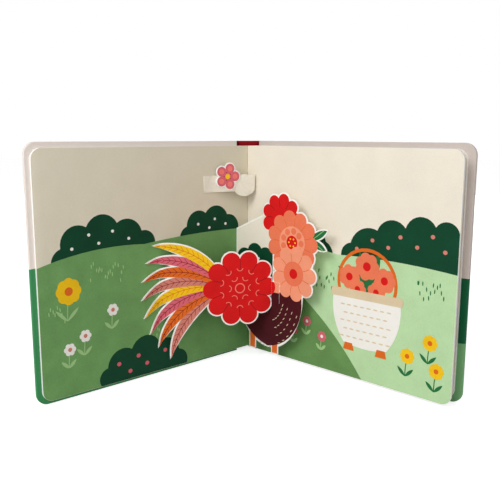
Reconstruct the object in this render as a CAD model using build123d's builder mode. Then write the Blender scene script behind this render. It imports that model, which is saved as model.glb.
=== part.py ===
from build123d import *
from math import atan2, cos, degrees, radians, sin
import os

# A pop-up book with hard covers, standing on its lower edges and open at its first spread.
# Z is up and the reader looks along +Y. The origin is the middle of the spine's foot.
# All sizes are in millimetres and all angles in degrees.

# Pose at rest: how far each page is turned towards the reader, from the X axis
left_page_turn = 43.5
right_page_turn = 42.5

# Case: two covers and a spine of wrapped board
cover_height = 190.0
cover_width = 203.5
board = 2.5
cover_corner = 9.0
board_edge = 0.6

# Spine and its two joints
spine_width = 19.5
spine_turn = 119.5
spine_hinge_inset = 2.0
hinge_gap = 1.6
front_board_start = 11.0
joint_paper = 0.8
joint_end_gap = 1.1

# Pages
page_foot = 2.5
page_height = 183.3
left_page_width = 199.5
first_leaf_width = 202.3
block_width = 198.0
block_thickness = 15.0
leaf_thickness = 1.8
leaves = 5
page_corner = 8.0
fold_web = 2.5
fold_gap = 0.3

# Pop-up card
card = 0.6
rest_gap = 0.3

# Blossom card: stands off the right page and is glued to the left page near the fold
blossom_offset = 13.0
blossom_tab = 8.0
panel_width = 44.0
panel_foot = 40.0
panel_low_top = 114.0
panel_high_top = 134.0
bowl_centre = (38.0, 64.0)
bowl_radii = (38.0, 51.0)
bowl_foot_size = (8.0, 20.0)
bowl_foot_height = 8.0
bowl_foot_reaches = (20.0, 46.0)
blossom_centres = ((52.0, 127.0), (66.0, 82.0), (64.0, 108.0))
blossom_radii = (15.0, 17.0, 20.0)
blossom_petals = (9, 9, 11)
blossom_petal_radii = (7.0, 7.5, 7.8)
sprig_base = (82.0, 112.0)
sprig_tips = ((101.0, 122.0), (100.0, 105.0))
sprig_bow = 4.0

# Support strip between the right page and the back of the blossom card
support_reach = 76.5
support_foot = 84.0
support_height = 22.0
support_tab = 8.0

# Fan card: leaves over the left page and a round bloom, from the left page to the blossom card
fan_hinge = 96.0
fan_reach = 42.3
fan_tab = 8.5
fan_tab_foot = 54.0
fan_tab_height = 18.0
bloom_centre = (67.0, 68.0)
bloom_radius = 24.0
bloom_petals = 10
bloom_petal_radius = 9.0
fan_base = (56.0, 68.0)
fan_leaf_length = 75.0
fan_leaf_count = 8
fan_first_angle = 148.0
fan_leaf_step = 11.6
fan_upper_bow = 16.0
fan_lower_bow = -5.0

# Bridge strip across the fold near the top, with a small flower on it
bridge_hinge = 40.0
bridge_return = 5.4
bridge_tab = 9.5
bridge_height = 14.0
bridge_top_margin = 24.8
bridge_foot = page_foot + page_height - bridge_top_margin - bridge_height
bridge_lobe_height = 5.0
bridge_lobe_centre = (30.0, bridge_foot + bridge_lobe_height)
bridge_lobe_radii = (11.0, 9.5)
ornament_height = 13.0
ornament_centre = (13.5, bridge_foot + ornament_height)
ornament_radius = 7.0
ornament_petals = 5
ornament_petal_radius = 5.2

UP = Vector(0, 0, 1)


def heading(angle):
    """Level direction at this angle from +X."""
    return Vector(cos(radians(angle)), sin(radians(angle)), 0)


def upright(origin, direction):
    """Standing plane: x along the direction, y up, z towards the reader."""
    return Plane(origin=origin, x_dir=direction, z_dir=direction.cross(UP))


def folded_plan(points, thickness, foot):
    """Plan of a strip of this thickness that is folded at the points between its two ends."""
    with BuildSketch(Plane.XY.offset(foot)) as plan:
        for start, end in zip(points, points[1:]):
            run = end - start
            middle = (start + end) / 2
            with Locations((middle.X, middle.Y)):
                SlotCenterToCenter(run.length, thickness, rotation=degrees(atan2(run.Y, run.X)))
    return plan.sketch


def leaf_outline(base, tip, upper_bow, lower_bow):
    """Curved leaf between two points, bowed to one side."""
    start = Vector(*base)
    end = Vector(*tip)
    middle = (start + end) / 2
    across = (end - start).normalized().cross(UP)
    with BuildSketch() as leaf:
        with BuildLine():
            ThreePointArc(start, middle + across * upper_bow, end)
            ThreePointArc(end, middle - across * lower_bow, start)
        make_face()
    return leaf.sketch


def round_flower(centre, radius, petals, petal_radius):
    """Disc with a ring of round petals."""
    with BuildSketch() as flower:
        with Locations(centre):
            Circle(radius)
            with PolarLocations(radius, petals):
                Circle(petal_radius)
    return flower.sketch


def sheet(plane, side, start, end, foot, height):
    """Outline of a board or page on one side of the fold, from start to end along it."""
    with BuildSketch(plane) as outline:
        with Locations((side * (start + end) / 2, foot)):
            Rectangle(end - start, height, align=(Align.CENTER, Align.MIN))
    return outline.sketch


# Plan of the book: the fold between the two pages, and the directions that leave it
left_run = heading(180 + left_page_turn)
right_run = heading(-right_page_turn)
left_back = left_run.cross(UP)
right_back = UP.cross(right_run)

# Plan of the spine, first measured from the fold
spine_run = heading(-right_page_turn - spine_turn)
back_hinge_from_fold = right_back * (block_thickness + board / 2) - right_run * spine_hinge_inset
spine_middle_from_fold = back_hinge_from_fold + spine_run * (hinge_gap + spine_width) / 2
fold = spine_middle_from_fold * -1
back_hinge = fold + back_hinge_from_fold
spine_start = back_hinge + spine_run * hinge_gap
spine_end = back_hinge + spine_run * spine_width
spine_end_reach = spine_width - hinge_gap
back_board_start = hinge_gap - spine_hinge_inset

left_face = upright(fold, left_run * -1)
right_face = upright(fold, right_run)


with BuildPart() as back_cover:
    inner_face = right_face.offset(-block_thickness)
    extrude(sheet(inner_face, 1, back_board_start, cover_width, 0, cover_height), amount=-board)
    across_board = Axis(fold, right_back)
    fillet(back_cover.edges().filter_by(across_board).group_by(Axis(fold, right_run))[-1], cover_corner)
    fillet(back_cover.faces().sort_by(across_board)[0].edges(), board_edge)
    fillet(back_cover.faces().sort_by(across_board)[-1].edges(), board_edge)
back_cover.part.label = "back_cover"

with BuildPart() as front_cover:
    inner_face = left_face.offset(-leaf_thickness)
    extrude(sheet(inner_face, -1, front_board_start, cover_width, 0, cover_height), amount=-board)
    across_board = Axis(fold, left_back)
    fillet(front_cover.edges().filter_by(across_board).group_by(Axis(fold, left_run))[-1], cover_corner)
    fillet(front_cover.faces().sort_by(across_board)[0].edges(), board_edge)
    fillet(front_cover.faces().sort_by(across_board)[-1].edges(), board_edge)
front_cover.part.label = "front_cover"

with BuildPart() as spine:
    with BuildSketch(upright(spine_start, spine_run * -1)):
        Rectangle(spine_end_reach, cover_height, align=(Align.MAX, Align.MIN))
    extrude(amount=board / 2, both=True)
    fillet(spine.edges().filter_by(Axis.Z), board_edge)
spine.part.label = "spine"

# Strip of cover paper that bends between the spine and the back cover
with BuildPart() as back_joint:
    board_side = back_hinge + right_run * (hinge_gap - joint_paper / 2)
    spine_side = back_hinge + spine_run * (hinge_gap - joint_paper / 2)
    extrude(folded_plan((board_side, back_hinge, spine_side), joint_paper, 0), amount=cover_height)
back_joint.part.label = "back_joint"

# Strip of cover paper from the spine to the edge of the front cover's board
with BuildPart() as front_joint:
    front_board_edge = fold + left_back * (leaf_thickness + board / 2) + left_run * front_board_start
    joint_run = (front_board_edge - spine_end).normalized()
    joint_start = spine_end + joint_run * joint_end_gap
    joint_end = front_board_edge - joint_run * joint_end_gap
    extrude(folded_plan((joint_start, joint_end), joint_paper, 0), amount=cover_height)
front_joint.part.label = "front_joint"

with BuildPart() as left_page:
    extrude(sheet(left_face, -1, fold_gap, left_page_width, page_foot, page_height), amount=-leaf_thickness)
    across_page = left_page.edges().filter_by(Axis(fold, left_back))
    fillet(across_page.group_by(Axis(fold, left_run))[-1], page_corner)
left_page.part.label = "left_page"

# First leaf of the block: it reaches further out than the leaves behind it
with BuildPart() as first_leaf:
    extrude(sheet(right_face, 1, fold_gap, first_leaf_width, page_foot, page_height), amount=-leaf_thickness)
    across_leaf = first_leaf.edges().filter_by(Axis(fold, right_back))
    fillet(across_leaf.group_by(Axis(fold, right_run))[-1], page_corner)

# The leaves are one block, joined along the fold and open at the other three edges
with BuildPart() as page_block:
    extrude(sheet(right_face, 1, fold_gap, block_width, page_foot, page_height), amount=-block_thickness)
    across_block = page_block.edges().filter_by(Axis(fold, right_back))
    fillet(across_block.group_by(Axis(fold, right_run))[-1], page_corner)
    leaf_pitch = (block_thickness - leaf_thickness) / (leaves - 1)
    for leaf in range(leaves - 1):
        leaf_back = right_face.offset(-leaf_thickness - leaf * leaf_pitch)
        slot = sheet(leaf_back, 1, fold_gap + fold_web, 2 * block_width, -page_height, 3 * page_height)
        extrude(slot, amount=leaf_thickness - leaf_pitch, mode=Mode.SUBTRACT)
    add(first_leaf.part)
page_block.part.label = "page_block"

# Blossom card: a panel, a bowl and its blossoms cut from one card, parallel to the right page
blossom_start = fold + left_run * blossom_offset - left_back * card / 2
blossom_tab_end = blossom_start + left_run * blossom_tab
with BuildPart() as blossom_card:
    with BuildSketch(upright(blossom_start, right_run)):
        with Locations(bowl_centre):
            Ellipse(*bowl_radii)
            Rectangle(3 * bowl_radii[0], 2 * bowl_radii[1], align=(Align.CENTER, Align.MIN), mode=Mode.SUBTRACT)
        with Locations(*[(reach, bowl_foot_height) for reach in bowl_foot_reaches]):
            Rectangle(*bowl_foot_size, align=(Align.CENTER, Align.MIN))
        with BuildLine():
            Polyline(
                (0, panel_foot),
                (panel_width, panel_foot),
                (panel_width, panel_high_top),
                (0, panel_low_top),
                close=True,
            )
        make_face()
        for blossom in zip(blossom_centres, blossom_radii, blossom_petals, blossom_petal_radii):
            add(round_flower(*blossom))
        for tip in sprig_tips:
            add(leaf_outline(sprig_base, tip, sprig_bow, sprig_bow))
        with Locations((0, cover_height / 2)):
            Rectangle(2 * cover_width, cover_height, align=(Align.MIN, Align.CENTER), mode=Mode.INTERSECT)
    extrude(amount=card / 2, both=True)
    tab_plan = folded_plan((blossom_tab_end, blossom_start), card, panel_foot)
    extrude(tab_plan, amount=bowl_centre[1] - panel_foot)
blossom_card.part.label = "blossom_card"

# Support strip: stands on the right page and is glued behind the blossom card
with BuildPart() as support_strip:
    page_fold = fold + right_run * support_reach - right_back * card / 2
    card_fold = blossom_start + right_run * support_reach + right_back * card
    support_points = (
        page_fold - right_run * support_tab,
        page_fold,
        card_fold,
        card_fold - right_run * support_tab,
    )
    extrude(folded_plan(support_points, card, support_foot), amount=support_height)
support_strip.part.label = "support_strip"

# Fan card: leaves that lie over the left page, and a bloom that leans out to the blossom card
fan_start = fold + left_run * fan_hinge - left_back * (rest_gap + card / 2)
fan_end = blossom_start + right_run * fan_reach - right_back * card
fan_run = (fan_end - fan_start).normalized()
fan_width = (fan_end - fan_start).length
with BuildSketch() as fan_outline:
    add(round_flower(bloom_centre, bloom_radius, bloom_petals, bloom_petal_radius))
    for index in range(fan_leaf_count):
        tip_run = heading(fan_first_angle + index * fan_leaf_step)
        tip = Vector(*fan_base) + tip_run * fan_leaf_length
        add(leaf_outline(fan_base, (tip.X, tip.Y), fan_upper_bow, fan_lower_bow))
with BuildPart() as fan_card:
    with BuildSketch(upright(fan_start, left_run * -1)):
        add(fan_outline.sketch)
        Rectangle(cover_width, 2 * cover_height, align=(Align.MAX, Align.CENTER), mode=Mode.INTERSECT)
    extrude(amount=card / 2, both=True)
    with BuildSketch(upright(fan_start, fan_run)):
        add(fan_outline.sketch)
        Rectangle(fan_width, 2 * cover_height, align=(Align.MIN, Align.CENTER), mode=Mode.INTERSECT)
    extrude(amount=card / 2, both=True)
    tab_plan = folded_plan((fan_end, fan_end + right_run * fan_tab), card, fan_tab_foot)
    extrude(tab_plan, amount=fan_tab_height)
fan_card.part.label = "fan_card"

# Bridge strip: glued to the left page, crosses the fold and turns back to the right page
bridge_start = fold + left_run * bridge_hinge - left_back * card / 2
bridge_end = fold + right_run * bridge_return - right_back * card / 2
bridge_line = (bridge_end - bridge_start).normalized()
bridge_out = bridge_line.cross(UP)
bridge_crest = fold + bridge_out * 2 * (bridge_start - fold).dot(bridge_out)
bridge_run = (bridge_crest - bridge_start).normalized()
bridge_face = upright(bridge_start, bridge_run)
with BuildPart() as bridge_strip:
    bridge_points = (bridge_start + left_run * bridge_tab, bridge_start, bridge_crest, bridge_end)
    extrude(folded_plan(bridge_points, card, bridge_foot), amount=bridge_height)
    with BuildSketch(bridge_face):
        with Locations(bridge_lobe_centre):
            Ellipse(*bridge_lobe_radii)
        with Locations((0, bridge_foot)):
            Rectangle(
                (bridge_crest - bridge_start).length,
                2 * cover_height,
                align=(Align.MIN, Align.CENTER),
                mode=Mode.INTERSECT,
            )
    extrude(amount=card / 2, both=True)
bridge_strip.part.label = "bridge_strip"

# Small flower glued to the front of the bridge strip
with BuildPart() as ornament:
    with BuildSketch(bridge_face.offset(card / 2)):
        add(round_flower(ornament_centre, ornament_radius, ornament_petals, ornament_petal_radius))
    extrude(amount=card)
ornament.part.label = "ornament"

os.makedirs("parts", exist_ok=True)
pieces = (
    back_cover,
    front_cover,
    spine,
    back_joint,
    front_joint,
    left_page,
    page_block,
    blossom_card,
    support_strip,
    fan_card,
    bridge_strip,
    ornament,
)
for piece in pieces:
    export_step(piece.part, "parts/" + piece.part.label + ".step")
    print(piece.part.label, len(piece.part.solids()), round(piece.part.volume), "mm3")
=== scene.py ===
# %% [markdown]
# # A pop-up book, standing open at its first spread
# The imported model gives the exact place of every board, page and card. This script keeps that
# frame and dresses it: wrapped covers, board leaves, printed fields and a paper bouquet that
# rises from the fold. Most pieces ride on a body, a half of the book or the spine; the pop-up
# cards, their prints and the back joint paper ride on none.

import random
from math import atan, atan2, cos, degrees, pi, radians, sin

import bmesh
import bpy
from mathutils import Matrix, Vector


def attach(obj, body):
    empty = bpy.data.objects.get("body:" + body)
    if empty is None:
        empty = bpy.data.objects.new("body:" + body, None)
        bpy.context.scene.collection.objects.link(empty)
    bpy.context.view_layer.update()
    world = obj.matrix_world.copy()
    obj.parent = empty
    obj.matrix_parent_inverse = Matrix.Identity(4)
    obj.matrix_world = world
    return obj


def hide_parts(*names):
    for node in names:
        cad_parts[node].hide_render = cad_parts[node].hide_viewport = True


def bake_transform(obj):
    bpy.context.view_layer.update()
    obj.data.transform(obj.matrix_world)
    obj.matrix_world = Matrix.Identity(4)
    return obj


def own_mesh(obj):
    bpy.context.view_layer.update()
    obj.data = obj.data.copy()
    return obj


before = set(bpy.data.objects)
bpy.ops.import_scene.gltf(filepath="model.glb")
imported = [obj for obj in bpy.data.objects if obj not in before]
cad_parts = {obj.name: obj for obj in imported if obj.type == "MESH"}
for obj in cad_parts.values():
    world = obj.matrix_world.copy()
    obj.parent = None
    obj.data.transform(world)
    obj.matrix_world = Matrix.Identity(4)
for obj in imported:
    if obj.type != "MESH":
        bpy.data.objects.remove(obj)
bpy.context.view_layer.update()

# %% [markdown]
# ## The plan of the book
# A standing book is easiest to think of from above. Both pages leave the fold as straight
# lines, and each cover lies behind its page. The sizes below are in millimetres and repeat the
# ones the solids were made from, so that print and paper land on them without any fitting.

# %% Sizes and directions
MM = 0.001
UP = Vector((0, 0, 1))
left_page_turn, right_page_turn, spine_turn = 43.5, 42.5, 119.5
opening = 180 - left_page_turn - right_page_turn
cover_height, cover_width, board, cover_corner, board_edge = 190.0, 203.5, 2.5, 9.0, 0.6
page_foot, page_height, page_corner, leaf, leaf_edge = 2.5, 183.3, 8.0, 1.8, 0.06
left_width, first_leaf_width, block_width, block_thickness = 199.5, 202.3, 198.0, 15.0
card, fold_gap, first_gap, rest_gap = 0.6, 0.3, 0.06, 0.3
spine_width, hinge_gap, hinge_inset, front_board_start = 19.5, 1.6, 2.0, 11.0
blossom_offset, fan_hinge, fan_reach, bridge_hinge, bridge_return = 13.0, 96.0, 42.3, 40.0, 5.4


def heading(angle):
    """Level direction at this angle from +X."""
    return Vector((cos(radians(angle)), sin(radians(angle)), 0))


left_run, right_run = heading(180 + left_page_turn), heading(-right_page_turn)
left_back, right_back = left_run.cross(UP), UP.cross(right_run)
spine_run = heading(-right_page_turn - spine_turn)
hinge_from_fold = right_back * (block_thickness + board / 2) - right_run * hinge_inset
fold = -(hinge_from_fold + spine_run * (hinge_gap + spine_width) / 2)
back_hinge = fold + hinge_from_fold
spine_end = back_hinge + spine_run * spine_width
print("the fold stands at", [round(v, 2) for v in fold], "mm")


# %% A standing plane
def standing(origin, direction, toward=0.0):
    """From drawing millimetres to the frame: x along the direction, y up, z out of the sheet."""
    out = direction.cross(UP)
    place = origin + out * toward
    turned = Matrix((direction, UP, out)).transposed().to_4x4()
    return Matrix.Scale(MM, 4) @ Matrix.Translation(place) @ turned


left_face = standing(fold, -left_run)
right_face = standing(fold, right_run)

# %% [markdown]
# ## Paper, ink and board
# Children's books are printed on matt coated board. Ink on it is never quite even: it wavers a
# little over a few centimetres, carries a fine speckle, and the sheet has a faint tooth that
# catches the light. One function makes such a finish for every ink, from two noises and a bump.


# %% One finish for every ink
def linear(value):
    """One channel of a colour as seen on a screen, 0 to 255, as light."""
    share = value / 255
    return share / 12.92 if share <= 0.04045 else ((share + 0.055) / 1.055) ** 2.4


def tint(colour, factor=1.0):
    """Screen colour as light, made darker or lighter by a factor."""
    return [min(1.0, linear(value) * factor) for value in colour] + [1.0]


def start_material(name, roughness):
    """New material with its principled shader and the position on the object."""
    material = bpy.data.materials.new(name)
    material.use_nodes = True
    nodes = material.node_tree.nodes
    shader = nodes["Principled BSDF"]
    shader.inputs["Roughness"].default_value = roughness
    shader.inputs["Specular IOR Level"].default_value = 0.12
    place = nodes.new("ShaderNodeTexCoord")
    return material, nodes, material.node_tree.links, shader, place.outputs["Object"]


def noise(nodes, links, place, scale, detail=3.0):
    """Noise on the object's own coordinates."""
    texture = nodes.new("ShaderNodeTexNoise")
    texture.inputs["Scale"].default_value = scale
    texture.inputs["Detail"].default_value = detail
    links.new(place, texture.inputs["Vector"])
    return texture.outputs["Fac"]


def mix(nodes, links, factor, first, second, blend="MIX"):
    """Mixed colour; each input is a socket or a plain value."""
    node = nodes.new("ShaderNodeMix")
    node.data_type = "RGBA"
    node.blend_type = blend
    for socket, value in zip((node.inputs[0], node.inputs[6], node.inputs[7]), (factor, first, second)):
        if isinstance(value, bpy.types.NodeSocket):
            links.new(value, socket)
        else:
            socket.default_value = value
    return node.outputs[2]


def ramp(nodes, links, value, stops, constant=False):
    """Colour ramp through the given stops of position and colour."""
    node = nodes.new("ShaderNodeValToRGB")
    node.color_ramp.interpolation = "CONSTANT" if constant else "LINEAR"
    elements = node.color_ramp.elements
    while len(elements) < len(stops):
        elements.new(1.0)
    for element, (position, colour) in zip(elements, stops):
        element.position = position
        element.color = colour
    links.new(value, node.inputs["Fac"])
    return node.outputs["Color"]


def tooth(nodes, links, shader, height, depth=0.00003, strength=0.35):
    """Fine bump of a paper surface."""
    bump = nodes.new("ShaderNodeBump")
    bump.inputs["Strength"].default_value = strength
    bump.inputs["Distance"].default_value = depth
    links.new(height, bump.inputs["Height"])
    links.new(bump.outputs["Normal"], shader.inputs["Normal"])


def ink(name, colour, mottle=0.07, speckle=0.05, roughness=0.55):
    """Printed colour: slow wavering, fine speckle and the tooth of the sheet."""
    material, nodes, links, shader, place = start_material(name, roughness)
    slow = noise(nodes, links, place, 55, 5)
    fine = noise(nodes, links, place, 950, 2)
    wavering = ramp(nodes, links, slow, ((0.3, tint(colour, 1 - mottle)), (0.7, tint(colour, 1 + mottle))))
    dots = ramp(nodes, links, fine, ((0.35, [1 - speckle] * 3 + [1]), (0.65, [1, 1, 1, 1])))
    links.new(mix(nodes, links, 1.0, wavering, dots, "MULTIPLY"), shader.inputs["Base Color"])
    tooth(nodes, links, shader, fine)
    return material


inks = {
    "sky": ink("sky_ink", (238, 229, 212), 0.02, 0.03),
    # Darker, warmer copy of the sky ink for the left page: painted shade and painted warm bounce light.
    "sky_in_left_shade": ink("sky_ink_in_left_shade", (231, 222, 200), 0.02, 0.03),
    "green": ink("hill_ink", (106, 148, 86), 0.10, 0.10),
    "left_green": ink("left_hill_ink", (118, 166, 100), 0.10, 0.10),
    "light_green": ink("meadow_ink", (190, 224, 172), 0.05, 0.05),
    "pale_green": ink("grass_ink", (165, 205, 140), 0.05),
    "dark_green": ink("bush_ink", (10, 66, 42), 0.10, 0.08),
    "leaf_green": ink("leaf_ink", (36, 112, 62), 0.08),
    "white": ink("white_ink", (248, 245, 238), 0.015, 0.02),
    "cream": ink("cream_ink", (226, 205, 170), 0.04),
    "pink": ink("pink_ink", (222, 104, 118), 0.06),
    "dusty_pink": ink("dusty_pink_ink", (214, 132, 116), 0.06),
    "yellow": ink("yellow_ink", (250, 200, 28), 0.05),
    "orange": ink("orange_ink", (228, 108, 34), 0.07),
    "coral": ink("coral_ink", (240, 124, 88), 0.05),
    "light_coral": ink("light_coral_ink", (248, 158, 124), 0.05),
    "red": ink("red_ink", (220, 24, 26), 0.07),
    "rose": ink("rose_ink", (246, 128, 116), 0.05),
    "dark_red": ink("dark_red_ink", (138, 24, 28), 0.08),
    "maroon": ink("maroon_ink", (72, 18, 26), 0.12, 0.08),
}
print("inks:", len(inks))

# %% [markdown]
# Uncoated card is the ground of the pop-up pieces. It is slightly warm, and where the knife has
# cut it, the bare edge shows as a bright line. The spine and both joints are covered with a dark
# red paper that has a fine linen grain, made here from two crossed waves.


# %% Card and spine paper
def plain_card(name, colour):
    """Unprinted card with a few fibres."""
    material, nodes, links, shader, place = start_material(name, 0.7)
    fibres = noise(nodes, links, place, 420, 6)
    links.new(
        ramp(nodes, links, fibres, ((0.3, tint(colour, 0.94)), (0.6, tint(colour, 1.0)))),
        shader.inputs["Base Color"],
    )
    tooth(nodes, links, shader, fibres, 0.00004, 0.4)
    return material


def wave(nodes, links, place, direction, scale):
    """Fine parallel threads along one direction."""
    texture = nodes.new("ShaderNodeTexWave")
    texture.bands_direction = direction
    texture.inputs["Scale"].default_value = scale
    texture.inputs["Distortion"].default_value = 1.2
    links.new(place, texture.inputs["Vector"])
    return texture.outputs["Color"]


def linen_paper(name, colour):
    """Embossed paper: two crossed waves darken and raise its threads."""
    material, nodes, links, shader, place = start_material(name, 0.5)
    weave = mix(
        nodes, links, 0.5, wave(nodes, links, place, "DIAGONAL", 380), wave(nodes, links, place, "Z", 420)
    )
    links.new(
        ramp(nodes, links, weave, ((0.2, tint(colour, 0.8)), (0.8, tint(colour, 1.1)))),
        shader.inputs["Base Color"],
    )
    tooth(nodes, links, shader, weave, 0.00008, 0.4)
    return material


white_card = plain_card("white_card", (250, 247, 240))
cream_card = plain_card("cream_card", (247, 239, 222))
leaf_board = plain_card("leaf_board", (250, 249, 247))
red_linen = linen_paper("spine_paper", (146, 12, 22))

# %% [markdown]
# The paper that wraps a cover is printed before it is glued on, so the picture runs over the
# edges and shows as a rim around the pages. A ramp on the height paints those bands: sky above,
# then hedge, then meadow. A little noise is added to the height, so the borders look painted.
# The ramp spans WRAP_RANGE millimetres, and the noise lifts a point by WRAP_WOBBLE at most.


# %% Wrapping paper of the covers
WRAP_RANGE = 200.0
WRAP_WOBBLE = 12.0


def wrap_paper(name, bands):
    """Cover paper in bands of height, each given as its lower border in millimetres and its colour."""
    material, nodes, links, shader, place = start_material(name, 0.42)
    height = nodes.new("ShaderNodeSeparateXYZ")
    links.new(place, height.inputs[0])
    wobble = nodes.new("ShaderNodeMath")
    wobble.operation = "MULTIPLY_ADD"
    wobble.inputs[1].default_value = WRAP_WOBBLE * MM
    links.new(noise(nodes, links, place, 18, 1), wobble.inputs[0])
    links.new(height.outputs["Z"], wobble.inputs[2])
    share = nodes.new("ShaderNodeMath")
    share.operation = "DIVIDE"
    share.inputs[1].default_value = WRAP_RANGE * MM
    links.new(wobble.outputs[0], share.inputs[0])
    stops = [((border + WRAP_WOBBLE / 2) / WRAP_RANGE, tint(colour)) for border, colour in bands]
    picture = ramp(nodes, links, share.outputs[0], stops, constant=True)
    slow = noise(nodes, links, place, 60, 5)
    uneven = ramp(nodes, links, slow, ((0.3, [0.96, 0.96, 0.96, 1]), (0.7, [1, 1, 1, 1])))
    links.new(mix(nodes, links, 1.0, picture, uneven, "MULTIPLY"), shader.inputs["Base Color"])
    tooth(nodes, links, shader, noise(nodes, links, place, 700, 3), 0.00003, 0.3)
    return material


front_meadow, front_sky = (64, 142, 88), (240, 228, 219)
# The back cover's sky band is darker than the front's: painted shade on the rim beside the right page.
back_meadow, back_hedge, shaded_back_sky = (112, 164, 112), (18, 88, 54), (204, 192, 184)
front_wrap = wrap_paper("front_cover_paper", ((-6, front_meadow), (101, front_sky)))
back_wrap = wrap_paper("back_cover_paper", ((-6, back_meadow), (45, back_hedge), (95, shaded_back_sky)))

# %% [markdown]
# ## Turning a mesh into a piece
# Each piece is one object at the origin with its place in its mesh. Most ride on a body. Paper
# between the pages would have to fold flat when the book closes, but nothing here turns it
# about the fold: the cards and their ink are only cut through the fold axis every two degrees,
# both along the same lines, and keep the place they have.


# %% Pieces, rigid and cut through the fold
CUT_STEP = 2


def make_piece(name, bm, materials, body=None, replaced=()):
    """Object from a finished bmesh; with no body it is left unattached."""
    mesh = bpy.data.meshes.new(name)
    bm.to_mesh(mesh)
    bm.free()
    for material in materials:
        mesh.materials.append(material)
    mesh.shade_smooth()
    mesh.set_sharp_from_angle(angle=radians(35))
    piece = bpy.data.objects.new(name, mesh)
    bpy.context.scene.collection.objects.link(piece)
    if body:
        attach(piece, body)
    if replaced:
        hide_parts(*replaced)
    print(name, "faces:", len(mesh.polygons))
    return piece


def whole(bm):
    """All points, edges and faces of a mesh."""
    return list(bm.verts) + list(bm.edges) + list(bm.faces)


def cut_by_rays(bm):
    """Cuts the mesh by upright planes through the fold, CUT_STEP degrees of the opening apart."""
    bmesh.ops.triangulate(bm, faces=bm.faces)
    for step in range(1, int(opening / CUT_STEP)):
        across = heading(-right_page_turn - CUT_STEP * step).cross(UP)
        bmesh.ops.bisect_plane(bm, geom=whole(bm), dist=1e-7, plane_co=fold * MM, plane_no=across)


def bend_with_covers(piece):
    """Bakes the piece's place into its mesh; it is not turned about the fold."""
    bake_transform(piece)


def bending_card(node, name, material):
    """Copy of a card's solid, cut by upright planes through the fold."""
    bm = bmesh.new()
    bm.from_mesh(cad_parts[node].data)
    bmesh.ops.remove_doubles(bm, verts=bm.verts, dist=1e-6)
    bmesh.ops.dissolve_limit(bm, angle_limit=radians(0.5), verts=bm.verts, edges=bm.edges)
    cut_by_rays(bm)
    piece = make_piece(name, bm, [material], replaced=[node])
    bend_with_covers(piece)
    return piece


# %% [markdown]
# ## Boards and leaves
# A cover is grey board wrapped in paper. Its fore-edge corners are rounded and all its edges are
# soft, because the paper can't follow a sharp edge. A board leaf has the same rounded corners,
# but its edges are cut clean. Both start as a flat rectangle: the corner points are bevelled,
# the sheet is extruded, and then the long edges get their own small bevel.


# %% Rounded sheets
def rounded_sheet(bm, start, end, foot, height, thick, corner, edge, plane, side_material=0):
    """Adds a sheet behind the plane; its corners at the far end are rounded."""
    shape = bmesh.new()
    size = Matrix.Diagonal((end - start, height, 1, 1))
    place = Matrix.Translation(((start + end) / 2, foot + height / 2, 0))
    bmesh.ops.create_grid(shape, x_segments=1, y_segments=1, size=0.5, matrix=place @ size)
    far = [v for v in shape.verts if abs(v.co.x - end) < 1e-4]
    bmesh.ops.bevel(
        shape, geom=far, offset=corner, offset_type="OFFSET", segments=10, profile=0.5,
        affect="VERTICES", material=-1,
    )
    pushed = bmesh.ops.extrude_face_region(shape, geom=list(shape.faces))
    moved = [part for part in pushed["geom"] if isinstance(part, bmesh.types.BMVert)]
    bmesh.ops.translate(shape, vec=(0, 0, -thick), verts=moved)
    rims = [e for e in shape.edges if abs(e.verts[0].co.z - e.verts[1].co.z) < 1e-6]
    bmesh.ops.bevel(
        shape, geom=rims, offset=edge, offset_type="OFFSET", segments=3, profile=0.5,
        affect="EDGES", material=-1,
    )
    bmesh.ops.recalc_face_normals(shape, faces=shape.faces)
    for face in shape.faces:
        face.material_index = 0 if abs(face.normal.z) > 0.9 else side_material
    add_shape(bm, shape, plane)


def add_shape(bm, shape, matrix=None):
    """Moves a finished shape into a mesh."""
    if matrix:
        bmesh.ops.transform(shape, matrix=matrix, verts=shape.verts)
        if matrix.to_3x3().determinant() < 0:
            bmesh.ops.reverse_faces(shape, faces=shape.faces)
    carrier = bpy.data.meshes.new("carrier")
    shape.to_mesh(carrier)
    shape.free()
    bm.from_mesh(carrier)
    bpy.data.meshes.remove(carrier)


# %% [markdown]
# The covers mirror each other. The left one is drawn on a plane whose x runs away from the fold
# and whose z points out of the book, so its sheet is pushed the other way.

# %% Both covers
cover_sheet = (cover_width, 0, cover_height, board, cover_corner, board_edge)
bm = bmesh.new()
back_inside = standing(fold, right_run, -block_thickness)
rounded_sheet(bm, hinge_gap - hinge_inset, *cover_sheet, back_inside)
make_piece("back_board", bm, [back_wrap], "back_half", ["back_cover"])

bm = bmesh.new()
front_outside = standing(fold, left_run, leaf + board)
rounded_sheet(bm, front_board_start, *cover_sheet, front_outside)
make_piece("front_board", bm, [front_wrap], "front_half", ["front_cover"])

# %% First page, pasted inside the front cover
leaf_sheet = (page_foot, page_height, leaf, page_corner, leaf_edge)
bm = bmesh.new()
rounded_sheet(bm, first_gap, left_width, *leaf_sheet, standing(fold, left_run, leaf), 1)
# Its sky is the darker, warmer copy of the sky ink: painted shade and painted warm bounce light.
make_piece("first_page", bm, [inks["sky_in_left_shade"], leaf_board], "front_half", ["left_page"])

# %% [markdown]
# The other leaves were pressed together in use and have sprung apart a little, so each leaf
# leaves the fold at its own small angle. The first one reaches out furthest. Between them lie
# the folded pop-ups of later spreads, which show as thin coloured lines at the head and the
# foot of the block. Each is given by its depth, start, end, foot, height and colour. A narrow
# web along the fold joins the leaves.

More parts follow.
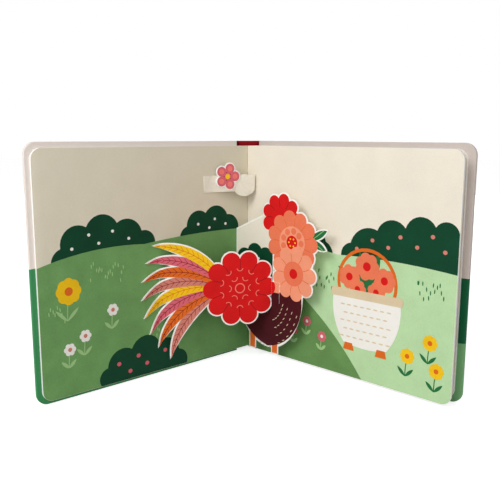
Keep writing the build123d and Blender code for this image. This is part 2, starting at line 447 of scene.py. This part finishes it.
# %% Leaves of the block
leaf_depths = ((0.0, 0.0), (3.3, 2.6), (6.6, 5.6), (9.9, 8.7), (13.2, 13.2))
bm = bmesh.new()
for near, far in leaf_depths:
    start, width = (fold_gap, block_width) if near else (first_gap, first_leaf_width)
    turn = Matrix.Rotation(atan((far - near) / width), 4, "Y")
    plane = standing(fold, right_run, -near) @ turn
    rounded_sheet(bm, start, width, *leaf_sheet, plane, 1)
web_width, web_middle = 2.5, 1.6
web = bmesh.new()
size = Matrix.Diagonal((web_width, page_height - 0.4, block_thickness - 1.0, 1))
middle = Matrix.Translation((web_middle, page_foot + page_height / 2, -block_thickness / 2))
bmesh.ops.create_cube(web, size=1.0, matrix=right_face @ middle @ size)
add_shape(bm, web)
make_piece("later_leaves", bm, [inks["sky"], leaf_board], "back_half", ["page_block"])

# %% Folded pop-ups between the leaves
folded = (
    (2.15, 6, 128, 30, 118, "red"), (2.75, 9, 112, 42, 96, "white"),
    (5.45, 5, 150, 18, 150, "yellow"), (6.05, 12, 138, 30, 120, "white"),
    (8.75, 7, 142, 26, 132, "pink"), (9.15, 10, 120, 36, 104, "white"),
    (12.0, 5, 156, 20, 140, "orange"), (12.5, 12, 130, 34, 110, "white"),
)
folded_cut = (0.35, 14, 0.05)  # thickness, corner and edge
bm = bmesh.new()
for depth, start, end, foot, height, _ in folded:
    rounded_sheet(bm, start, end, foot, height, *folded_cut, standing(fold, right_run, -depth))
sheet_faces = len(bm.faces) // len(folded)
for index, face in enumerate(bm.faces):
    face.material_index = index // sheet_faces
folded_inks = [inks[entry[-1]] for entry in folded]
make_piece("folded_popups", bm, folded_inks, "back_half")

# %% [markdown]
# ## Spine and joints
# The spine is a narrow board of its own. Between it and each cover the paper is left free, and
# this strip is the real hinge of the case. Its course is drawn from above as a few points, which
# are subdivided and smoothed into one soft line, then raised to the full height and thickened.

# %% Spine board
bm = bmesh.new()
spine_plane = standing(back_hinge, -spine_run, board / 2)
rounded_sheet(bm, -hinge_gap, -spine_width, 0, cover_height, board, 0.4, 0.6, spine_plane)
bmesh.ops.recalc_face_normals(bm, faces=bm.faces)
make_piece("spine_board", bm, [red_linen], "spine_body", ["spine"])


# %% Joint paper
def joint_paper(points, thick=0.45):
    """Upright strip of paper along a smoothed line of points."""
    bm = bmesh.new()
    verts = [bm.verts.new(point * MM) for point in points]
    for first, second in zip(verts, verts[1:]):
        bm.edges.new((first, second))
    bmesh.ops.subdivide_edges(bm, edges=list(bm.edges), cuts=3)
    inner = [v for v in bm.verts if len(v.link_edges) == 2]
    for _ in range(12):
        bmesh.ops.smooth_vert(bm, verts=inner, factor=0.5, use_axis_x=True, use_axis_y=True)
    raised = bmesh.ops.extrude_edge_only(bm, edges=list(bm.edges))
    top = [part for part in raised["geom"] if isinstance(part, bmesh.types.BMVert)]
    bmesh.ops.translate(bm, vec=(0, 0, cover_height * MM), verts=top)
    bmesh.ops.recalc_face_normals(bm, faces=bm.faces)
    bmesh.ops.solidify(bm, geom=list(bm.faces), thickness=thick * MM)
    bmesh.ops.recalc_face_normals(bm, faces=bm.faces)
    return bm


spine_out = spine_run.cross(UP)
skin = board / 2 + 0.1
spine_lap, front_lap, back_lap, dip = 0.8, 4, 5, 0.9
board_start = fold + left_back * (leaf + board / 2) + left_run * front_board_start
front_course = (
    spine_end + spine_out * skin - spine_run * spine_lap,
    spine_end + spine_out * skin * 0.6 + spine_run * 0.4,
    spine_end + spine_run * dip,
    board_start - left_run * dip,
    board_start + left_back * skin + left_run * 0.5,
    board_start + left_back * skin + left_run * front_lap,
)
front_strip = make_piece(
    "front_joint_paper", joint_paper(front_course), [red_linen], "front_half", ["front_joint"]
)
# A closed or flat book presses this strip against the back of the first page.
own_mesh(front_strip)

back_course = (
    back_hinge + right_run * back_lap + right_back * skin,
    back_hinge + right_run * 1.5 + right_back * skin,
    back_hinge + (right_back + spine_out) * skin * 0.5,
    back_hinge + spine_run * 1.5 + spine_out * skin,
    back_hinge + spine_run * back_lap + spine_out * skin,
)
back_strip = make_piece(
    "back_joint_paper", joint_paper(back_course), [red_linen], replaced=["back_joint"]
)
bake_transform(back_strip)

# %% [markdown]
# ## Drawing with flat shapes
# The print is made of fields of colour, as in cut-paper pictures. Every shape is a thin slip of
# ink with its own height, and each next one lies a hair higher, in the order a painter would
# work, so that nothing flickers where two overlap. Circles come from the circle tool, and all
# other outlines are chains of arcs, each spun from the last point round its own centre.


# %% Shapes
def spin_to(shape, parts, start, end, bow, steps):
    """Spins parts from start to end on an arc that bulges to the right of the way by bow."""
    chord = end - start
    half = chord.length / 2
    side = chord.normalized().cross(UP)
    radius = (half ** 2 + bow ** 2) / (2 * bow)
    centre = (start + end) / 2 - side * (radius - bow)
    return bmesh.ops.spin(
        shape, geom=parts, cent=centre, axis=UP, angle=4 * atan(bow / half), steps=steps,
        use_duplicate=False,
    )["geom_last"]


def disc_shape(x, y, rx, ry=None, turn=0.0, segments=28):
    """Filled circle or ellipse."""
    shape = bmesh.new()
    spread = Matrix.Diagonal((rx, ry or rx, 1, 1))
    place = Matrix.Translation((x, y, 0)) @ Matrix.Rotation(radians(turn), 4, "Z")
    bmesh.ops.create_circle(shape, cap_ends=True, radius=1.0, segments=segments, matrix=place @ spread)
    return shape


def outline_shape(path):
    """Filled outline; each entry is a point, with a bow where an arc leads to it."""
    shape = bmesh.new()
    first = shape.verts.new((path[0][0], path[0][1], 0))
    last = first
    closing = [] if tuple(path[-1][:2]) == tuple(path[0][:2]) else [path[0][:2]]
    for x, y, *bow in list(path[1:]) + closing:
        end = Vector((x, y, 0))
        if bow:
            tip = spin_to(shape, [last], last.co.copy(), end, bow[0], 10)
            last = next(part for part in tip if isinstance(part, bmesh.types.BMVert))
            last.co = end
        else:
            tip = shape.verts.new(end)
            shape.edges.new((last, tip))
            last = tip
    bmesh.ops.weld_verts(shape, targetmap={last: first})
    bmesh.ops.edgeloop_fill(shape, edges=list(shape.edges))
    return shape


def ribbon_shape(start, end, bow=0.01, width=0.5, steps=8):
    """Line of even width on an arc."""
    shape = bmesh.new()
    start, end = Vector((*start, 0)), Vector((*end, 0))
    chord = end - start
    tilt = Matrix.Rotation(-2 * atan(2 * bow / chord.length), 3, "Z")
    across = (tilt @ chord.normalized()).cross(UP) * width / 2
    ends = [shape.verts.new(start - across), shape.verts.new(start + across)]
    pen = shape.edges.new(ends)
    spin_to(shape, ends + [pen], start, end, bow, steps)
    return shape


INK_STEP = 0.005


class Drawing:
    """Many inked shapes in one mesh, each a hair above the one before."""

    def __init__(self, ground=0.0):
        self.bm = bmesh.new()
        self.names = []
        self.ground = ground
        self.level = 0.02

    def put(self, colour, shape, climb=INK_STEP):
        """Adds one shape as a thin closed slip of ink."""
        if colour not in self.names:
            self.names.append(colour)
        sunk = bmesh.ops.extrude_face_region(shape, geom=list(shape.faces))
        below = {part for part in sunk["geom"] if isinstance(part, bmesh.types.BMVert)}
        for vertex in shape.verts:
            vertex.co.z = self.ground + (-0.04 if vertex in below else self.level)
        for face in shape.faces:
            face.material_index = self.names.index(colour)
        bmesh.ops.recalc_face_normals(shape, faces=shape.faces)
        add_shape(self.bm, shape)
        self.level += climb

    def disc(self, colour, *place, **more):
        """Circle or ellipse."""
        self.put(colour, disc_shape(*place, **more))

    def outline(self, colour, path):
        """Closed outline of lines and arcs."""
        self.put(colour, outline_shape(path))

    def ribbon(self, colour, *place, **more):
        """Curved line; many of them may share one height."""
        self.put(colour, ribbon_shape(*place, **more), climb=0.0)

    def leaf(self, colour, base, tip, upper, lower):
        """Leaf between two points, with its own bow on each side."""
        self.outline(colour, (base, (*tip, upper), (*base, lower)))

    def scatter(self, colour, places, size):
        """Small dots."""
        for x, y in places:
            self.put(colour, disc_shape(x, y, size, size * 0.92, segments=14), climb=0.0)
        self.level += INK_STEP

    def ring(self, colour, x, y, radius, count, size):
        """Ring of round petals; neighbours lie at different heights."""
        lowest = self.level
        for index in range(count):
            turn = 2 * pi * index / count
            self.level = lowest + INK_STEP * (2 if index == count - 1 else index % 2)
            petal = disc_shape(x + radius * cos(turn), y + radius * sin(turn), size)
            self.put(colour, petal, climb=0.0)
        self.level = lowest + 3 * INK_STEP

    def flower(self, x, y, size, petals, petal, heart, stem=0.0, green="pale_green"):
        """Round flower, with a stem and two leaves below it."""
        if stem:
            foot = (x - stem * 0.08, y - stem)
            self.ribbon(green, (x, y), foot, 0.4, 0.7)
            self.level += INK_STEP
            for side in (-1, 1):
                tip = (foot[0] + side * stem * 0.42, foot[1] + stem * 0.42)
                self.leaf(green, foot, tip, 1.3, 1.3)
        self.ring(petal, x, y, size * 0.62, petals, size * 0.45)
        self.disc(petal, x, y, size * 0.7)
        self.disc(heart, x, y, size * 0.34)

    def grass(self, colour, x, y, width, height, count, seed):
        """Loose field of short upright strokes."""
        dice = random.Random(seed)
        for index in range(count):
            px = x + width * ((index * 0.618) % 1)
            py = y + height * dice.random()
            self.put(colour, disc_shape(px, py, 0.42, 1.7, dice.uniform(-8, 8), segments=8), climb=0.0)
        self.level += INK_STEP


# %% [markdown]
# ## The printed spread
# Both pages show one landscape: pale sky, hedges on the horizon and rolling meadows. Hedges are
# drawn first and the hills cover their feet. All of it is a plain design of common garden
# things, kept in the same colours and sizes that give a book of this kind its look.

# %% Left page
margin = 0.2
foot, corner_top = page_foot + margin, page_foot + page_corner
left_end = left_width - margin
left = Drawing()
left.outline("dark_green", (
    (-186, 96), (-181, 114, -5), (-160, 128, -8), (-134, 129, -8), (-112, 121, -6), (-100, 108, -5),
))
left.outline("dark_green", ((-72, 104), (-68, 120, -5), (-48, 130, -7), (-24, 127, -7), (-12, 110, -6)))
left.outline("left_green", (
    (-0.1, foot), (page_corner - left_width, foot), (-left_end, corner_top, -2.3), (-left_end, 102),
    (-110, 110, -4), (-0.1, 113, -2),
))
left.outline("dark_green", (
    (-152, foot), (-146, 16, -4), (-124, 27, -7), (-98, 28, -8), (-78, 17, -6), (-70, foot, -4),
))
left.scatter("white", (
    (-172, 113), (-158, 122), (-150, 115), (-138, 123), (-124, 116), (-56, 121), (-38, 124),
    (-44, 117), (-26, 119),
), 1.3)
left.scatter("pink", ((-136, 17), (-118, 20), (-110, 12), (-92, 19), (-126, 9)), 1.9)
left.flower(-176, 82, 9.5, 8, "yellow", "orange", 22)
left.flower(-164, 46, 4.6, 6, "white", "dusty_pink", 15)
left.flower(-177, 38, 4.6, 6, "white", "dusty_pink", 14)
left.flower(-140, 62, 4.6, 6, "white", "dusty_pink", 15)
left.grass("pale_green", -158, 84, 30, 16, 18, 3)
left.grass("pale_green", -100, 30, 26, 14, 16, 4)
left.grass("pale_green", -192, 60, 14, 12, 8, 5)
left.ribbon("pale_green", (-96.4, 60), (-96.4, 87), width=0.5)
bmesh.ops.transform(left.bm, matrix=left_face, verts=left.bm.verts)
make_piece("left_print", left.bm, [inks[n] for n in left.names], "front_half")

# %% Right page
right_end = first_leaf_width - margin
right = Drawing()
right.outline("dark_green", (
    (100, 92), (right_end, 92), (right_end, 128), (184, 131, 6), (160, 128, 8), (136, 124, 7),
    (112, 112, 6), (104, 98, 4),
))
right.outline("dark_green", ((56, 92), (92, 92), (88, 110, 5), (68, 113, 7), (58, 102, 5)))
right.outline("light_green", (
    (0.1, foot), (first_leaf_width - page_corner, foot), (right_end, corner_top, 2.3),
    (right_end, 99), (100, 101, 2), (0.1, 106, 2),
))
right.outline("green", ((0.1, foot), (126, foot), (62, 62, 4), (0.1, 86, 4)))
right.scatter("dusty_pink", (
    (118, 108), (132, 116), (146, 112), (156, 121), (170, 115), (182, 124), (192, 114), (66, 104),
    (80, 106),
), 1.7)
for x, y in ((70, 40), (86, 30), (56, 30)):
    right.flower(x, y, 4.2, 6, "pink", "white", 12)
for x, y in ((184, 46), (166, 32), (190, 26)):
    right.flower(x, y, 5.6, 8, "yellow", "orange", 16, "leaf_green")
right.grass("leaf_green", 172, 78, 22, 14, 14, 6)
right.grass("leaf_green", 78, 72, 20, 14, 12, 7)
right.grass("pale_green", 20, 20, 26, 16, 12, 8)

# %% White basket of coral flowers on the right page
for x, y in ((101, 92), (152, 95), (121, 106), (139, 107)):
    right.leaf("leaf_green", (128, 74), (x, y), 4.4, 4.4)
right.ribbon("orange", (103, 74), (153, 74), -34, 2.6, 20)
right.level += INK_STEP
for x, y, size in ((112, 85, 9.2), (144, 86, 9.2), (128, 95, 10.4), (120, 76, 7.4), (137, 76, 7.4)):
    right.flower(x, y, size, 7, "coral", "red")
right.outline("white", ((98, 74), (108, 31, 5), (148, 31, 2.5), (158, 74, 5)))
right.outline("cream", ((96, 75), (96, 68, 0.8), (160, 68), (160, 75, 0.8)))
for row in range(5):
    for column in range(8 - row % 2):
        x = 106.5 + 6.1 * column + 3.0 * (row % 2)
        right.put("cream", disc_shape(x, 62 - 6.5 * row, 2.1, 0.6, segments=12), climb=0.0)
right.level += INK_STEP
for x in (113, 143):
    right.outline("orange", ((x - 3.5, 31), (x - 5, 25), (x + 5, 25), (x + 3.5, 31)))
bmesh.ops.transform(right.bm, matrix=right_face, verts=right.bm.verts)
make_piece("right_print", right.bm, [inks[n] for n in right.names], "back_half")

# %% [markdown]
# ## The right pop-up card
# This card stands parallel to the right page on a small folded strip. Its die-cut outline keeps
# a white border of about a millimetre round the ink. The picture is a maroon bowl on two feet
# with a red and two coral blossoms and a sprig, in front of a pale panel with a hedge. The
# bodies of all five cut cards are made first, straight from their solids.

# %% Card bodies
bending_card("blossom_card", "right_card", white_card)
bending_card("support_strip", "strut_strip", white_card)
bending_card("fan_card", "left_card", white_card)
bending_card("bridge_strip", "bridge_band", cream_card)
bending_card("ornament", "bridge_flower", white_card)

# %% Panel and bowl
card_start = fold + left_run * blossom_offset - left_back * card / 2
right_art = Drawing(card / 2)
right_art.outline("sky", ((1, 41), (43, 41), (43, 132), (1, 113)))
right_art.outline("dark_green", ((1, 41), (43, 41), (43, 96), (30, 99, 3), (14, 97, 5), (1, 86, 5)))
right_art.scatter("white", ((7, 79), (14, 88), (20, 78), (27, 90)), 1.2)
for x in (20, 46):
    right_art.outline("orange", ((x - 3, 9.2), (x + 3, 9.2), (x + 3, 26), (x - 3, 26)))
right_art.outline("maroon", ((1.2, 64), (74.8, 64), (38, 14.2, -12.8), (1.2, 64, -12.8)))
for row in range(4):
    for index in range(6):
        angle = radians(-68 + 9.5 * index)
        x, y = 38 + (34 - 5.4 * row) * cos(angle), 62 + (46 - 7 * row) * sin(angle)
        dash = disc_shape(x, y, 0.34, 1.5, degrees(angle) - 4, segments=8)
        right_art.put("cream", dash, climb=0.0)
right_art.level += INK_STEP

# %% Blossoms and sprig
# Middle, radius of the wheel, number of petals and radius of a petal
red_blossom = (52, 127, 15, 9, 7)
coral_blossom = (64, 108, 20, 11, 7.8)
pale_blossom = (66, 82, 17, 9, 7.5)
blossom_border = 1.2


def petal_wheel(art, colour, line, x, y, radius, petals, petal):
    """Ring of round petals with a thin line between each two."""
    art.ring(colour, x, y, radius, petals, petal - blossom_border)
    art.disc(colour, x, y, radius, segments=40)
    for index in range(petals):
        turn = 2 * pi * (index + 0.5) / petals
        near, far = radius * 0.62, radius * 1.02
        start = (x + near * cos(turn), y + near * sin(turn))
        art.ribbon(line, start, (x + far * cos(turn), y + far * sin(turn)), 0.4, 0.5)
    art.level += INK_STEP


sprig_base = (82, 112)
for tip in ((99.6, 121.2), (98.6, 105.4)):
    right_art.leaf("leaf_green", sprig_base, tip, 2.9, 2.9)
    right_art.ribbon("pale_green", (84, 112), (tip[0] - 3, tip[1]), width=0.45)
    right_art.level += INK_STEP
petal_wheel(right_art, "red", "dark_red", *red_blossom)
petal_wheel(right_art, "coral", "orange", *coral_blossom)
x, y = coral_blossom[:2]
right_art.disc("light_coral", x, y, 13.5, segments=36)
right_art.ring("coral", x, y, 9.6, 9, 2.7)
right_art.disc("red", x, y, 5.8)
seeds = [radians(60 * index) for index in range(6)]
right_art.scatter("yellow", [(x + 3.3 * cos(a), y + 3.3 * sin(a)) for a in seeds], 0.8)
petal_wheel(right_art, "light_coral", "orange", *pale_blossom)
right_art.disc("coral", *pale_blossom[:2], 10.5)
right_art.disc("red", *pale_blossom[:2], 4.2)
bmesh.ops.transform(right_art.bm, matrix=standing(card_start, right_run), verts=right_art.bm.verts)
cut_by_rays(right_art.bm)
right_ink = make_piece("right_card_print", right_art.bm, [inks[n] for n in right_art.names])
bend_with_covers(right_ink)

# %% [markdown]
# ## The left pop-up card
# This card lies over the left page as a fan of long leaves, folds at a slit, and leans out to
# the right card with a round red bloom. It is drawn flat, cut along the fold, and only then
# are its two halves set on their own planes, so the ink runs over the fold without a gap.

# %% Fan of leaves
fan_start = fold + left_run * fan_hinge - left_back * (rest_gap + card / 2)
fan_end = card_start + right_run * fan_reach - right_back * card
fan_run = (fan_end - fan_start).normalized()
fan_width = (fan_end - fan_start).length
left_art = Drawing(card / 2)
base = Vector((56, 68, 0))
first_angle, angle_step, vein_start, vein_end = 148, 11.6, 16, 3
ink_length, upper_bow, lower_bow = 73.6, 15.0, 6.0
rib_bow, half_width = (upper_bow + lower_bow) / 2, (upper_bow - lower_bow) / 2
leaf_inks = 2 * (
    ("yellow", "orange"), ("pink", "dark_red"), ("orange", "dark_red"), ("dusty_pink", "dark_red"),
)


def arch(along):
    """Height of a leaf's curve at a distance along it, as a share of its bow."""
    return 4 * along * (ink_length - along) / ink_length ** 2


for index, (colour, vein) in reversed(list(enumerate(leaf_inks))):
    run = heading(first_angle + angle_step * index)
    side = run.cross(UP)
    left_art.leaf(colour, base.to_2d(), (base + run * ink_length).to_2d(), upper_bow, -lower_bow)
    ends = (vein_start, ink_length - vein_end)
    first, last = (base + run * along + side * rib_bow * arch(along) for along in ends)
    sag = rib_bow * ((ends[1] - ends[0]) / ink_length) ** 2
    left_art.ribbon(vein, first.to_2d(), last.to_2d(), sag, 0.5, 12)
    for step in range(10):
        along = 20 + 4.8 * step
        point = base + run * along + side * rib_bow * arch(along)
        slope = 4 * rib_bow * (ink_length - 2 * along) / ink_length ** 2
        forward = (run + side * slope).normalized()
        reach = half_width * arch(along)
        for way in (-1, 1):
            end = point + forward * reach * 0.9 + forward.cross(UP) * way * reach * 0.72
            left_art.ribbon(vein, point.to_2d(), end.to_2d(), width=0.35, steps=1)
    left_art.level += INK_STEP

# %% Red bloom
red_bloom = (67, 68, 24, 10, 9)
bloom_x, bloom_y = red_bloom[:2]
petal_wheel(left_art, "red", "dark_red", *red_bloom)
left_art.disc("rose", bloom_x, bloom_y, 4.4)
left_art.disc("red", bloom_x, bloom_y, 3.5)
for count, radius in ((6, 9.5), (10, 17.0)):
    for index in range(count):
        turn = 2 * pi * (index + 0.5 * (radius > 10)) / count
        x, y = bloom_x + radius * cos(turn), bloom_y + radius * sin(turn)
        dx, dy = -2.6 * sin(turn), 2.6 * cos(turn)
        left_art.ribbon("rose", (x - dx, y - dy), (x + dx, y + dy), -2.1, 0.65, 8)


# %% Fold the drawing at its slit and end it at the tab
bmesh.ops.triangulate(left_art.bm, faces=left_art.bm.faces)
bmesh.ops.bisect_plane(
    left_art.bm, geom=whole(left_art.bm), dist=1e-5, plane_co=(0, 0, 0), plane_no=(1, 0, 0)
)
bmesh.ops.bisect_plane(
    left_art.bm, geom=whole(left_art.bm), dist=1e-5, plane_co=(fan_width - 0.3, 0, 0),
    plane_no=(1, 0, 0), clear_outer=True,
)
over_page, leaning = standing(fan_start, -left_run), standing(fan_start, fan_run)
for vertex in left_art.bm.verts:
    flat = vertex.co.copy()
    halves = [plane @ flat for plane in (over_page, leaning)]
    vertex.co = (halves[0] + halves[1]) / 2 if abs(flat.x) < 1e-4 else halves[flat.x > 0]
open_edges = [e for e in left_art.bm.edges if e.is_boundary]
bmesh.ops.holes_fill(left_art.bm, edges=open_edges, sides=0)
cut_by_rays(left_art.bm)
left_ink = make_piece("left_card_print", left_art.bm, [inks[n] for n in left_art.names])
bend_with_covers(left_ink)

# %% [markdown]
# The tab that is glued to the right card carries the colours of what it covers there, and the
# last bit of the bloom's middle petal.

# %% Glue tab
tab_foot, tab_border, tab_top, tab_width = 54, 63, 72, 8.7
tab = Drawing(card / 2)
for colour, low, high in (("maroon", tab_foot, tab_border), ("light_coral", tab_border, tab_top)):
    tab.outline(colour, ((0, low), (tab_width, low), (tab_width, high), (0, high)))
tab.outline("red", ((0, 60.6), (4.2, 66, 0.8), (3.0, tab_top, 0.6), (0, tab_top)))
bmesh.ops.transform(tab.bm, matrix=standing(fan_end, right_run), verts=tab.bm.verts)
cut_by_rays(tab.bm)
tab_ink = make_piece("glue_tab_print", tab.bm, [inks[n] for n in tab.names])
bend_with_covers(tab_ink)

# %% [markdown]
# ## The bridge flower
# A second, small pop-up crosses the fold near the head of the pages: a white band with a cut-out
# flower glued to it. The flower's ink leaves a white border, as on the larger cards. The crest
# of the band is the fold mirrored in the straight line between the band's two ends.

# %% Flower on the bridge
bridge_start = fold + left_run * bridge_hinge - left_back * card / 2
bridge_end = fold + right_run * bridge_return - right_back * card / 2
bridge_out = (bridge_end - bridge_start).normalized().cross(UP)
bridge_crest = fold + bridge_out * 2 * (bridge_start - fold).dot(bridge_out)
bridge_run = (bridge_crest - bridge_start).normalized()
flower_x, flower_y, flower_radius, seed_radius = 13.5, 160, 7, 3.4
small_art = Drawing(card * 1.5)
for index in range(5):
    turn = 2 * pi * index / 5
    x, y = flower_x + flower_radius * cos(turn), flower_y + flower_radius * sin(turn)
    small_art.disc("pink", x, y, 4.2)
    small_art.disc("rose", x, y, 2.3)
small_art.disc("pink", flower_x, flower_y, 4.6)
small_art.disc("yellow", flower_x, flower_y, 2.2)
for index in range(5):
    turn = 2 * pi * (index + 0.5) / 5
    x, y = flower_x + seed_radius * cos(turn), flower_y + seed_radius * sin(turn)
    small_art.disc("dark_red", x, y, 0.45, segments=10)
bmesh.ops.transform(small_art.bm, matrix=standing(bridge_start, bridge_run), verts=small_art.bm.verts)
cut_by_rays(small_art.bm)
small_ink = make_piece("bridge_flower_print", small_art.bm, [inks[n] for n in small_art.names])
bend_with_covers(small_ink)

# %% [markdown]
# ## Outside of the covers
# The photograph doesn't show the outside, so it carries a plain garden that goes on from the
# rims: a hedge, some dots and a few flowers, without a title.

# %% Cover pictures
def mirrored(path, side):
    """The path itself, or its mirror image with all its bows turned over."""
    return [(side * x, y, *(side * b for b in bow)) for x, y, *bow in path]


outside_hedge = ((30, 96), (40, 118, -6), (66, 130, -9), (98, 127, -9), (126, 112, -7), (134, 96, -4))
outside_dots = ((48, 112), (62, 120), (78, 112), (94, 120), (112, 110))
for name, run, depth, body, side, start in (
    ("front_cover_print", left_run, leaf + board, "front_half", 1, 14),
    ("back_cover_print", -right_run, block_thickness + board, "back_half", -1, 0.2),
):
    art = Drawing()
    art.outline("dark_green", mirrored(outside_hedge, side))
    ground = ((start, 30), (start, 98), (110, 101, -3), (201.5, 97, -2), (201.5, 30), (110, 24, -3))
    art.outline("green", mirrored(ground, side))
    art.scatter("dusty_pink", mirrored(outside_dots, side), 1.8)
    for x, y, petal in ((60, 66, "white"), (96, 54, "coral"), (132, 68, "yellow"), (166, 50, "white")):
        art.flower(side * x, y, 8, 8, petal, "orange" if petal != "coral" else "red", 20)
    art.grass("pale_green", side * 150 - 15, 76, 30, 12, 14, 9)
    bmesh.ops.transform(art.bm, matrix=standing(fold, run, depth), verts=art.bm.verts)
    make_piece(name, art.bm, [inks[n] for n in art.names], body)

# %% [markdown]
# ## Stage, light and camera
# A plain pale floor keeps a soft shadow. It glows only towards the camera and mirror-like rays,
# and the world is at its full white only to the camera and rays through clear things, so the
# light on the book stays at a plain level. The main lamp stands to the reader's left, which
# leaves the left page in a soft shade. A weaker one in front reaches into the fold, and a third
# behind the book keeps the covers from going dull.


# %% Floor
def seen_by(nodes, links, first, second):
    """One for the two named kinds of ray, nought for all others."""
    rays = nodes.new("ShaderNodeLightPath")
    seen = nodes.new("ShaderNodeMath")
    seen.operation = "MAXIMUM"
    links.new(rays.outputs[first], seen.inputs[0])
    links.new(rays.outputs[second], seen.inputs[1])
    return seen.outputs[0]


floor_bm = bmesh.new()
floor_place = Matrix.Translation((0, 1.0, -0.0002))
bmesh.ops.create_grid(floor_bm, x_segments=1, y_segments=1, size=4.0, matrix=floor_place)
floor_mesh = bpy.data.meshes.new("floor")
floor_bm.to_mesh(floor_mesh)
floor_bm.free()
floor = bpy.data.objects.new("floor", floor_mesh)
bpy.context.scene.collection.objects.link(floor)
floor_material = bpy.data.materials.new("pale_floor")
floor_material.use_nodes = True
nodes, links = floor_material.node_tree.nodes, floor_material.node_tree.links
matt = nodes["Principled BSDF"]
matt.inputs["Base Color"].default_value = (0.6, 0.6, 0.6, 1)
matt.inputs["Roughness"].default_value = 0.9
matt.inputs["Specular IOR Level"].default_value = 0.0
glow = nodes.new("ShaderNodeMath")
glow.operation = "MULTIPLY"
glow.inputs[1].default_value = 0.75
links.new(seen_by(nodes, links, "Is Camera Ray", "Is Glossy Ray"), glow.inputs[0])
matt.inputs["Emission Color"].default_value = (1, 1, 1, 1)
links.new(glow.outputs[0], matt.inputs["Emission Strength"])
floor.data.materials.append(floor_material)

# %% World
world = bpy.data.worlds.new("studio")
bpy.context.scene.world = world
world.use_nodes = True
nodes, links = world.node_tree.nodes, world.node_tree.links
background = nodes["Background"]
background.inputs["Color"].default_value = (1, 1, 1, 1)
level = nodes.new("ShaderNodeMapRange")
level.inputs["To Min"].default_value = 0.4
level.inputs["To Max"].default_value = 1.0
links.new(seen_by(nodes, links, "Is Camera Ray", "Is Transmission Ray"), level.inputs["Value"])
links.new(level.outputs[0], background.inputs["Strength"])


# %% Lamps
def area_lamp(name, place, target, size, power):
    """Square lamp that looks at a point."""
    light = bpy.data.lights.new(name, "AREA")
    light.size = size
    light.energy = power
    lamp = bpy.data.objects.new(name, light)
    lamp.location = place
    lamp.rotation_euler = (Vector(target) - Vector(place)).to_track_quat("-Z", "Y").to_euler()
    bpy.context.scene.collection.objects.link(lamp)


area_lamp("key", (-0.75, -1.1, 1.0), (0.0, -0.05, 0.1), 0.7, 12.5)
area_lamp("front_fill", (-0.1, -1.5, 0.5), (0.0, 0.0, 0.1), 1.0, 4)
area_lamp("back_fill", (0.3, 1.5, 0.6), (0.0, 0.0, 0.1), 1.2, 14)

# %% Camera
focal_pixels, photo_pixels, yaw, pitch, roll = 653.3, 500, radians(-1.05), radians(-9.91), radians(0.16)
camera_data = bpy.data.cameras.new("camera")
camera_data.sensor_width = 36.0
camera_data.lens = focal_pixels / photo_pixels * camera_data.sensor_width
camera_data.clip_start = 0.01
camera = bpy.data.objects.new("camera", camera_data)
camera.location = (fold + Vector((13.0, -582.7, 194.3))) * MM
forward = Vector((sin(yaw) * cos(pitch), cos(yaw) * cos(pitch), sin(pitch)))
aim = forward.to_track_quat("-Z", "Y").to_matrix()
camera.rotation_euler = (aim @ Matrix.Rotation(roll, 3, "Z")).to_euler()
bpy.context.scene.collection.objects.link(camera)
bpy.context.scene.camera = camera
bpy.context.scene.view_settings.view_transform = "Standard"
